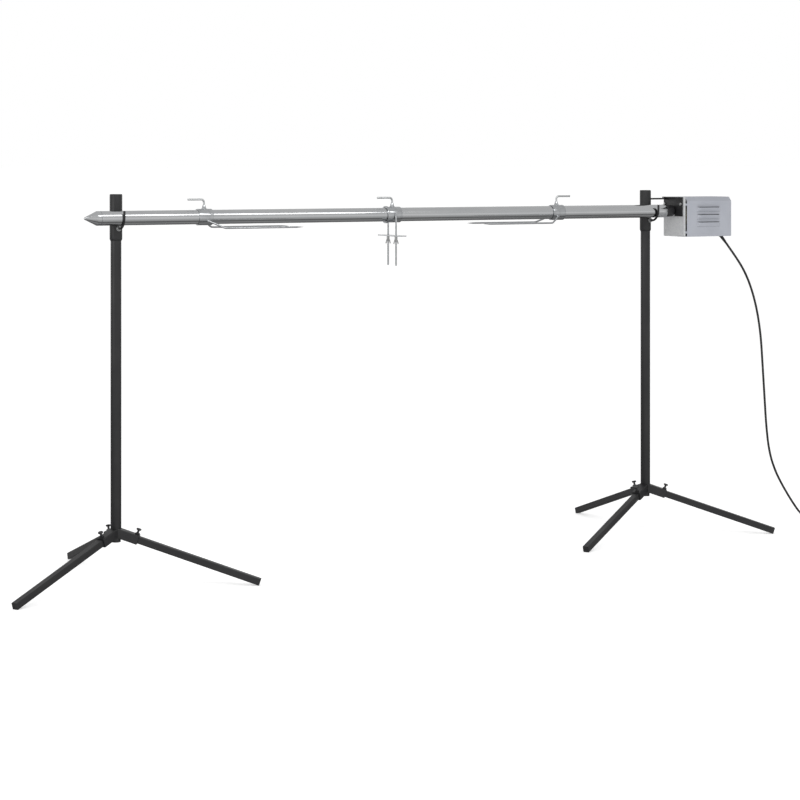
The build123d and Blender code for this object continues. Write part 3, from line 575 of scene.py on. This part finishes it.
def make_strain_relief():
    """Flanged bush in the cover's floor with a ribbed, tapering boot along the lead."""
    gland_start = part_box("cord_gland")[0].x
    floor_z = middle("motor_cover").z / mm - size("motor_cover").z / mm / 2
    flange = Vector((gland_start + 6.5 * mm, middle("cord_gland").y, 0)) / mm
    place = (flange.x * mm, flange.y * mm, floor_z * mm)
    tilt = radians(41)
    heading = Vector((sin(tilt), 0, -cos(tilt)))
    bm = bmesh.new()
    lip = [(0.0, 4.4), (0.0, 6.0), (0.6, 6.5), (1.9, 6.5), (2.5, 5.9), (2.5, 3.4)]
    turned(bm, lip, place, (0, 0, -1), 48)
    start, end = 1.4, 24.0
    wide, narrow = 5.0, 3.9
    groove = 0.55
    ribs = 6
    boot = [(start, 3.2), (start, wide)]
    for rib in range(ribs):
        for share, cut in ((0.45, 0), (0.60, groove), (0.85, groove), (1.0, 0)):
            along = start + (end - start) * (rib + share) / ribs
            radius = wide + (narrow - wide) * (along - start) / (end - start)
            boot.append((along, radius - cut))
    boot.append((end, 3.3))
    turned(bm, boot, place, heading, 48)
    return finish_piece("strain_relief", bm, "motor", "black_cord", ["cord_gland"], 40)


strain_relief = make_strain_relief()
plug_piece = refined("plug", "black_cord", 0.35)

# ---- stands ----


def make_post(side):
    """Steel tube post, plain and powder coated."""
    low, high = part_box(f"{side}_post")
    radius = (high.x - low.x) / 2 / mm
    tall = (high.z - low.z) / mm
    bore = radius - tube_wall
    wall = [(0, radius), (tall, radius), (tall, bore), (0, bore)]
    bm = bmesh.new()
    base = (middle(f"{side}_post").x, middle(f"{side}_post").y, low.z)
    turned(bm, wall, base, (0, 0, 1), 96, closed=True)
    ease_edges(bm, 0.3)
    finish_piece(f"{side}_post_tube", bm, "stand", "black_powder_coat", [f"{side}_post"])


def make_sleeve(side):
    """Capped sleeve pressed over the post's top, with a tapered lower edge."""
    low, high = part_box(f"{side}_sleeve")
    radius = (high.x - low.x) / 2 / mm
    bore = radius - 2.4
    tall = (high.z - low.z) / mm
    profile = [
        (tall, 0),
        (tall, radius - 2.0),
        (tall - 0.6, radius - 0.6),
        (tall - 2.0, radius),
        (5.6, radius),
        (4.4, radius - 0.15),
        (0.3, bore + 0.75),
        (0, bore + 0.45),
        (0, bore),
        (tall - 2.5, bore),
        (tall - 2.5, 0),
    ]
    bm = bmesh.new()
    centre = middle(f"{side}_sleeve")
    turned(bm, profile, (centre.x, centre.y, low.z), (0, 0, 1), 112)
    finish_piece(f"{side}_sleeve_cap", bm, "stand", "black_powder_coat", [f"{side}_sleeve"])


def make_hook(side):
    """Rod bent into an open J that the spit lies in."""
    low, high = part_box(f"{side}_hook")
    low, high = low / mm, high / mm
    x = (low.x + high.x) / 2
    radius = 3.0
    bottom = low.z + radius
    arm = low.y + radius
    corners = [(x, high.y, bottom), (x, arm, bottom), (x, arm, high.z)]
    route = arc_corner(corners, 32.0, 24)
    bm = bmesh.new()
    rod(bm, route, [radius] * len(route))
    ease_edges(bm, 1.6, angle=60, segments=4)
    finish_piece(f"{side}_hook_rod", bm, "stand", "black_steel_rod", [f"{side}_hook"], 50)


for side in sides:
    make_post(side)
    make_sleeve(side)
    make_hook(side)
    refined(f"{side}_hub", "black_powder_coat", 0.7, 3)
    refined(f"{side}_hook_nuts", "zinc_fasteners", 0.35)
    for where in leg_places:
        leg = f"{side}_stand_{where}_leg"
        refined(leg, "black_powder_coat", 0.25)
        refined(f"{leg}_plug", "black_plastic", 0.3)
        refined(f"{leg}_screw", "black_screws", 0.3)

# ---- spit ----

spit_axis = middle("spit_tube")


def make_spit():
    """Polished tube, its turned point and its black drive coupling."""
    low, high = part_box("spit_tube")
    long_mm = (high.x - low.x) / mm
    radius = (high.z - low.z) / 2 / mm
    bore = radius - tube_wall
    wall = [(0, radius), (long_mm, radius), (long_mm, bore), (0, bore)]
    bm = bmesh.new()
    turned(bm, wall, (low.x, spit_axis.y, spit_axis.z), (1, 0, 0), 160, closed=True)
    ease_edges(bm, 0.5, segments=3)
    finish_piece("spit_polished_tube", bm, "spit", "polished_stainless", ["spit_tube"])

    cone_end = (low.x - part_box("spit_tip")[0].x) / mm
    shoulder = 11.0
    profile = [
        (-30, 0),
        (-30, radius - 1.6),
        (-0.2, radius - 1.6),
        (0.3, radius - 0.5),
        (1.0, radius),
        (shoulder - 0.8, radius),
        (shoulder, radius - 0.3),
        (shoulder + 0.9, radius - 1.0),
        (cone_end - 1.4, 2.9),
        (cone_end - 0.5, 1.9),
        (cone_end, 0.6),
        (cone_end, 0),
    ]
    bm = bmesh.new()
    turned(bm, profile, (low.x, spit_axis.y, spit_axis.z), (-1, 0, 0), 128)
    finish_piece("spit_turned_point", bm, "spit", "polished_stainless", ["spit_tip"], 20)
    refined("drive_coupling", "black_coupling", 0.5, 3)


make_spit()

# ---- forks and clamp ----


def add_collar(bm, centre_x, length):
    """Bored collar on the spit with eased rims, and its threaded boss with a weld bead."""
    start = (centre_x - length / 2) * mm
    ring = [(0, collar_radius), (length, collar_radius), (length, collar_bore), (0, collar_bore)]
    collar = bmesh.new()
    turned(collar, ring, (0, 0, 0), (0, 0, 1), 112, closed=True)
    ease_edges(collar, 0.5, segments=3)
    place = turn_matrix((start, spit_axis.y, spit_axis.z), (1, 0, 0))
    add_shape(bm, collar, place)
    foot = collar_bore + 0.4
    head = collar_radius + boss_proud
    cone = [(foot, 6.4), (head - 8.4, boss_radius), (head, 3.7), (head, boss_bore), (foot, boss_bore)]
    boss = bmesh.new()
    turned(boss, cone, (0, 0, 0), (0, 0, 1), 56, closed=True)
    ease_edges(boss, 0.5, segments=3)
    upright = turn_matrix((centre_x * mm, spit_axis.y, spit_axis.z), (0, 0, 1), (1, 0, 0))
    add_shape(bm, boss, upright)
    add_bead(bm, centre_x, boss_radius)


def add_bead(bm, centre_x, reach):
    """Weld bead that follows the collar's curve round the foot of the boss."""
    steps = 40
    axis = spit_axis / mm
    route = []
    for step in range(steps + 1):
        angle = 2 * pi * step / steps
        side = reach * sin(angle)
        rise = (collar_radius * collar_radius - side * side) ** 0.5 + 0.25
        route.append(Vector((centre_x + reach * cos(angle), axis.y + side, axis.z + rise)))
    ripple = [1.15 + 0.2 * sin(9 * 2 * pi * step / steps) for step in range(steps + 1)]
    shape = bmesh.new()
    last_ring = None
    first_ring = None
    for place, point in enumerate(route[:-1]):
        ahead = route[(place + 1) % steps] - route[place - 1]
        ring = bmesh.ops.create_circle(
            shape,
            segments=10,
            radius=ripple[place] * mm,
            matrix=turn_matrix(point * mm, ahead),
        )["verts"]
        edges = list({edge for vert in ring for edge in vert.link_edges})
        if last_ring:
            bmesh.ops.bridge_loops(shape, edges=last_ring + edges)
        else:
            first_ring = edges
        last_ring = edges
    bmesh.ops.bridge_loops(shape, edges=last_ring + first_ring)
    add_shape(bm, shape)


def make_crank(name, pointing):
    """L-shaped screw: threaded upright and a plain handle."""
    low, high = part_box(name)
    low, high = low / mm, high / mm
    radius = 2.75
    y = (low.y + high.y) / 2
    stem = high.x - radius if pointing < 0 else low.x + radius
    end = low.x if pointing < 0 else high.x
    top = high.z - radius
    corners = [(stem, y, low.z), (stem, y, top), (end, y, top)]
    route = arc_corner(corners, 8.0, 14)
    bm = bmesh.new()
    rod(bm, route, [radius] * len(route))
    ease_edges(bm, 1.1, angle=60, segments=4)
    threads = thread_profile(low.z + 2.0, top - 20.0, radius, 1.0)
    turned(bm, threads, (stem * mm, y * mm, 0), (0, 0, 1), 40)
    finish_piece(f"{name}_rod", bm, nodes[name]["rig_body"], "steel_cranks", [name], 45)


def thread_profile(start, end, radius, pitch):
    """Saw-edged profile of a screw thread, as rings."""
    profile = [(start, radius - 0.4)]
    count = int((end - start) / pitch)
    for turn in range(count):
        base = start + turn * pitch
        profile.append((base + 0.15 * pitch, radius - 0.25))
        profile.append((base + 0.5 * pitch, radius + 0.06))
        profile.append((base + 0.85 * pitch, radius - 0.25))
    profile.append((start + count * pitch, radius - 0.4))
    return profile


def make_fork(side, pointing):
    """Collar with two pointed prongs bent to run along the spit."""
    low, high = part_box(f"{side}_fork")
    low, high = low / mm, high / mm
    axis = spit_axis / mm
    collar_long = 40.0
    bend_at = 41
    point_long = 26
    drop = 28.5
    spread = (high.y - low.y) / 2 - prong_radius
    reach = high.x - low.x - collar_long / 2
    centre = low.x + collar_long / 2 if pointing > 0 else high.x - collar_long / 2
    bm = bmesh.new()
    add_collar(bm, centre, collar_long)
    for hand in (-1, 1):
        prong_y = axis.y + hand * spread
        prong_z = axis.z - drop
        corners = [
            (centre + pointing * 4, axis.y + hand * 20.4, axis.z - 9.6),
            (centre + pointing * bend_at, prong_y, prong_z),
            (centre + pointing * (reach - point_long), prong_y, prong_z),
        ]
        route = arc_corner(corners, 14.0, 10)
        radii = [prong_radius] * len(route)
        for share in (0.25, 0.5, 0.75, 0.93, 1.0):
            along = reach - point_long + point_long * share
            route.append(Vector((centre + pointing * along, prong_y, prong_z)))
            radii.append(prong_radius * (1 - share**1.25) + 0.25)
        rod(bm, route, radii, 24)
        blob = bmesh.new()
        bmesh.ops.create_icosphere(blob, subdivisions=3, radius=4.0 * mm)
        bmesh.ops.scale(blob, vec=(1.25, 0.8, 0.9), verts=blob.verts)
        weld = Vector((centre + pointing * 6, axis.y + hand * 20.6, axis.z - 10.6)) * mm
        add_shape(bm, blob, Matrix.Translation(weld))
    finish_piece(f"{side}_fork_welded", bm, f"{side}_fork", "steel_forks", [f"{side}_fork"])
    make_crank(f"{side}_fork_screw", -pointing)


make_fork("left", 1)
make_fork("right", -1)


def make_spine_clamp():
    """Collar with a rim at its left end and two threaded rods that hang from it."""
    low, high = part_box("spine_clamp")
    low, high = low / mm, high / mm
    axis = spit_axis / mm
    centre = (low.x + high.x) / 2
    bm = bmesh.new()
    add_collar(bm, centre, high.x - low.x)
    rim_wide = 6
    outside, inside = collar_radius + 2, collar_radius - 1
    ring = [(0, outside), (rim_wide, outside), (rim_wide, inside), (0, inside)]
    rim = bmesh.new()
    turned(rim, ring, (0, 0, 0), (0, 0, 1), 112, closed=True)
    ease_edges(rim, 0.7, segments=3)
    add_shape(bm, rim, turn_matrix((low.x * mm, spit_axis.y, spit_axis.z), (1, 0, 0)))
    for hand in (-1, 1):
        y = axis.y + hand * 24.0
        ends = [Vector((centre, y, low.z)), Vector((centre, y, axis.z + 5))]
        rod(bm, ends, [prong_radius] * 2)
        threads = thread_profile(low.z + 1.0, axis.z - 30.0, prong_radius, 1.0)
        turned(bm, threads, (centre * mm, y * mm, 0), (0, 0, 1), 36)
    finish_piece("spine_clamp_welded", bm, "spine_clamp", "steel_forks", ["spine_clamp"])
    make_crank("spine_clamp_screw", -1)


make_spine_clamp()
refined("spine_plate", "steel_forks", 0.5, 3)


def make_wing_nut(name):
    """Slim hub with two arms that spread downwards, on a hanging rod."""
    low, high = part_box(name)
    centre = middle(name) / mm
    top = high.z / mm
    fall = (high.z - low.z) / mm
    span = (high.x - low.x) / mm / 2
    bore, hub = 2.6, 4.0
    wing_thick = 1.8
    wing_front = centre.y - wing_thick / 2
    bm = bmesh.new()
    nut = bmesh.new()
    ring = [(0, hub), (0.65 * fall, hub), (0.65 * fall, bore), (0, bore)]
    turned(nut, ring, (0, 0, 0), (0, 0, 1), 48, closed=True)
    ease_edges(nut, 0.4, segments=3)
    add_shape(bm, nut, turn_matrix((centre.x * mm, centre.y * mm, high.z), (0, 0, -1)))
    outline = [
        (hub - 0.8, 0.40 * fall),
        (hub + 0.6, 0.40 * fall),
        (span, 0.88 * fall),
        (span - 0.5, fall),
        (span - 2.6, fall),
        (hub - 0.8, 0.62 * fall),
    ]
    for hand in (-1, 1):
        arm = bmesh.new()
        corners = [
            arm.verts.new(((centre.x + hand * out) * mm, wing_front * mm, (top - down) * mm))
            for out, down in outline
        ]
        face = arm.faces.new(corners)
        pushed = bmesh.ops.extrude_face_region(arm, geom=[face])["geom"]
        moved = [part for part in pushed if isinstance(part, bmesh.types.BMVert)]
        bmesh.ops.translate(arm, vec=(0, wing_thick * mm, 0), verts=moved)
        bmesh.ops.recalc_face_normals(arm, faces=arm.faces)
        ease_edges(arm, 0.5, segments=3)
        add_shape(bm, arm)
    finish_piece(f"{name}_forged", bm, nodes[name]["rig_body"], "zinc_fasteners", [name], 40)


make_wing_nut("front_wing_nut")
make_wing_nut("back_wing_nut")

# ---- motor ----

# The louvres' middle one is at this height above the floor, and all three at this
# distance from the cover's closed end, in millimetres as the other sizes here.
louvre_level = 934.0
louvre_from_end = 83.5
louvre_length = 81.0
louvre_height = 14.6
louvre_pitch = 22.0
hood_depth = 8.0
hood_slope = 6.4
hood_slit = 1.8
hood_sunk = 0.3
hood_sheet = 0.9
cover_sheet = 0.9
cover_chamfer = 12.0
cover_gap = 4.0
rim_shift = 1.8
rim_lip = 2.5


def add_hood(bm, middle_x, middle_z, face_y, facing):
    """Pressed louvre hood that stands proud of the cover and is open along its top."""
    half = louvre_length / 2
    rise = louvre_height / 2
    outline = {
        "foot_left": (-half, -hood_sunk, -rise),
        "foot_right": (half, -hood_sunk, -rise),
        "lip_right": (half - hood_slope, hood_depth, rise - hood_slit),
        "lip_left": (-half + hood_slope, hood_depth, rise - hood_slit),
        "top_left": (-half, -hood_sunk, rise),
        "top_right": (half, -hood_sunk, rise),
    }
    hood = bmesh.new()
    corners = {
        name: hood.verts.new(Vector((x, facing * out, z)) * mm)
        for name, (x, out, z) in outline.items()
    }
    for around in (
        ("foot_left", "foot_right", "lip_right", "lip_left"),
        ("foot_left", "lip_left", "top_left"),
        ("foot_right", "top_right", "lip_right"),
    ):
        hood.faces.new([corners[name] for name in around])
    bmesh.ops.recalc_face_normals(hood, faces=hood.faces)
    folds = [edge for edge in hood.edges if len(edge.link_faces) == 2]
    bmesh.ops.bevel(
        hood,
        geom=folds,
        offset=3.0 * mm,
        offset_type="OFFSET",
        segments=6,
        profile=0.5,
        affect="EDGES",
        clamp_overlap=True,
        material=-1,
    )
    bmesh.ops.solidify(hood, geom=hood.faces[:], thickness=hood_sheet * mm)
    add_shape(bm, hood, Matrix.Translation(Vector((middle_x, face_y, middle_z)) * mm))


def make_motor_cover():
    """Folded cover with three pressed louvres in front and behind, with painted shade inside: its
    inner faces are black.
    """
    low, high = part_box("motor_cover")
    rim_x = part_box("motor_end_plate")[1].x + cover_gap * mm
    shape = own_shape("motor_cover")
    for vert in shape.verts:
        if abs(vert.co.x - rim_x) < 0.3 * mm:
            vert.co.x += rim_shift * mm
    ease_edges(shape, 0.35, segments=3)
    middle_x = high.x / mm - louvre_from_end
    for facing, face_y in ((-1, low.y / mm), (1, high.y / mm)):
        for step in (-1, 0, 1):
            level = louvre_level + step * louvre_pitch
            add_hood(shape, middle_x, level, face_y, facing)
    cover = finish_piece("motor_cover_pressed", shape, "motor", "grey_cover", ["motor_cover"])
    # The cover's second finish is black painted shade for its inner faces. These are the faces deeper
    # than the sheet and past the end rim's lip, so the inside reads dark through the end slot and
    # louvre slits.
    cover.data.materials.append(finishes["black_plastic"])
    for face in cover.data.polygons:
        x, y, z = face.center
        in_front, behind = y - low.y, high.y - y
        from_chamfer = (in_front + high.z - z - cover_chamfer * mm) / 2**0.5
        depth = min(in_front, behind, z - low.z, high.z - z, high.x - x, from_chamfer)
        if depth > cover_sheet * mm and x > rim_x + rim_lip * mm:
            face.material_index = 1
    shade_evenly(cover)


make_motor_cover()
for outer_node, outer_slot, edge_width in (
    ("motor_end_plate", "galvanised_plate", 0.35),
    ("mount_bracket", "black_powder_coat", 0.5),
    ("bracket_screws", "zinc_fasteners", 0.3),
    ("cover_screws", "zinc_fasteners", 0.3),
    ("stay_rod", "black_powder_coat", 0.4),
    ("output_bush", "brass_bush", 0.3),
):
    refined(outer_node, outer_slot, edge_width)
for inner_node, inner_slot in {
    "output_shaft": "turned_steel",
    "output_gear": "nylon_gears",
    "cluster_gear": "nylon_gears",
    "cluster_pin": "turned_steel",
    "gear_plate": "galvanised_plate",
    "rotor": "turned_steel",
    "stator": "turned_steel",
    "field_coil": "copper_coil",
}.items():
    paint(inner_node, inner_slot)

# ---- floor, light and background ----


def make_floor():
    """Plain pale floor, large enough for every view."""
    bm = bmesh.new()
    bmesh.ops.create_grid(bm, x_segments=2, y_segments=2, size=300)
    mesh = bpy.data.meshes.new("floor")
    bm.to_mesh(mesh)
    bm.free()
    # Matt white acrylic of a light table, lit a little from below: an even, slightly
    # mottled white with faint shadows.
    glow = {"Roughness": 0.9, "Emission Color": (1, 1, 1, 1), "Emission Strength": 0.44}
    material, tree, place, shader = start_material("matt_white_acrylic", glow)
    mottle = grain(tree, place, 400.0, 2.0)
    tree.links.new(tinted(tree, mottle, "F4F4F4", "F7F7F7"), shader.inputs["Base Color"])
    mesh.materials.append(material)
    floor = bpy.data.objects.new("floor", mesh)
    floor.visible_glossy = False
    scene.collection.objects.link(floor)


# Brightness of the studio by its angle round the spit, in degrees: 0 towards the user,
# 90 overhead, 180 behind, and negative below. Walls, reflectors and dark gaps of the
# room give the polished tube its bands.
studio_bands = [
    (-180, 1.0),
    (-177, 1.0),
    (-172, 0.20),
    (-112, 0.18),
    (-98, 0.32),
    (-84, 0.32),
    (-72, 0.14),
    (-60, 0.15),
    (-50, 0.40),
    (-33, 0.52),
    (-17, 0.70),
    (-3, 0.84),
    (8, 0.66),
    (20, 0.66),
    (90, 0.63),
    (166, 0.63),
    (173, 1.0),
    (180, 1.0),
]


def make_studio():
    """Studio walls as bands of light round the spit's axis, with a white horizon behind."""
    world = bpy.data.worlds.new("studio")
    scene.world = world
    world.use_nodes = True
    tree = world.node_tree
    tree.nodes.clear()
    direction = add_node(tree, "ShaderNodeTexCoord").outputs["Generated"]
    parts = add_node(tree, "ShaderNodeSeparateXYZ", links={0: direction})
    towards_user = add_node(
        tree, "ShaderNodeMath", {1: -1.0}, {0: parts.outputs[1]}, operation="MULTIPLY"
    )
    angle = add_node(
        tree,
        "ShaderNodeMath",
        links={0: parts.outputs[2], 1: towards_user.outputs[0]},
        operation="ARCTAN2",
    )
    share = add_node(
        tree,
        "ShaderNodeMapRange",
        {"From Min": -pi, "From Max": pi},
        {"Value": angle.outputs[0]},
    )
    stops = [((degrees + 180) / 360, (*[bright] * 3, 1.0)) for degrees, bright in studio_bands]
    bands = add_node(tree, "ShaderNodeValToRGB", links={"Fac": share.outputs[0]}, stops=stops)
    back = add_node(tree, "ShaderNodeBackground", links={"Color": bands.outputs[0]})
    add_node(tree, "ShaderNodeOutputWorld", links={"Surface": back.outputs[0]})


def add_light(name, place, aim, wide, tall, watts):
    """Soft box of this size, turned towards its aim."""
    data = bpy.data.lights.new(name, "AREA")
    data.shape = "RECTANGLE"
    data.size = wide
    data.size_y = tall
    data.energy = watts
    light = bpy.data.objects.new(name, data)
    light.location = place
    light.rotation_euler = (Vector(place) - Vector(aim)).to_track_quat("Z", "Y").to_euler()
    scene.collection.objects.link(light)


scene.view_settings.view_transform = "Standard"
make_floor()
make_studio()
aim = (0, spit_axis.y, 0.7)
add_light("key_soft_box", (-0.6, -2.9, 3.6), aim, 5.0, 0.8, 45)
add_light("side_soft_box", (-4.5, -1.2, 1.6), aim, 1.2, 2.0, 18)
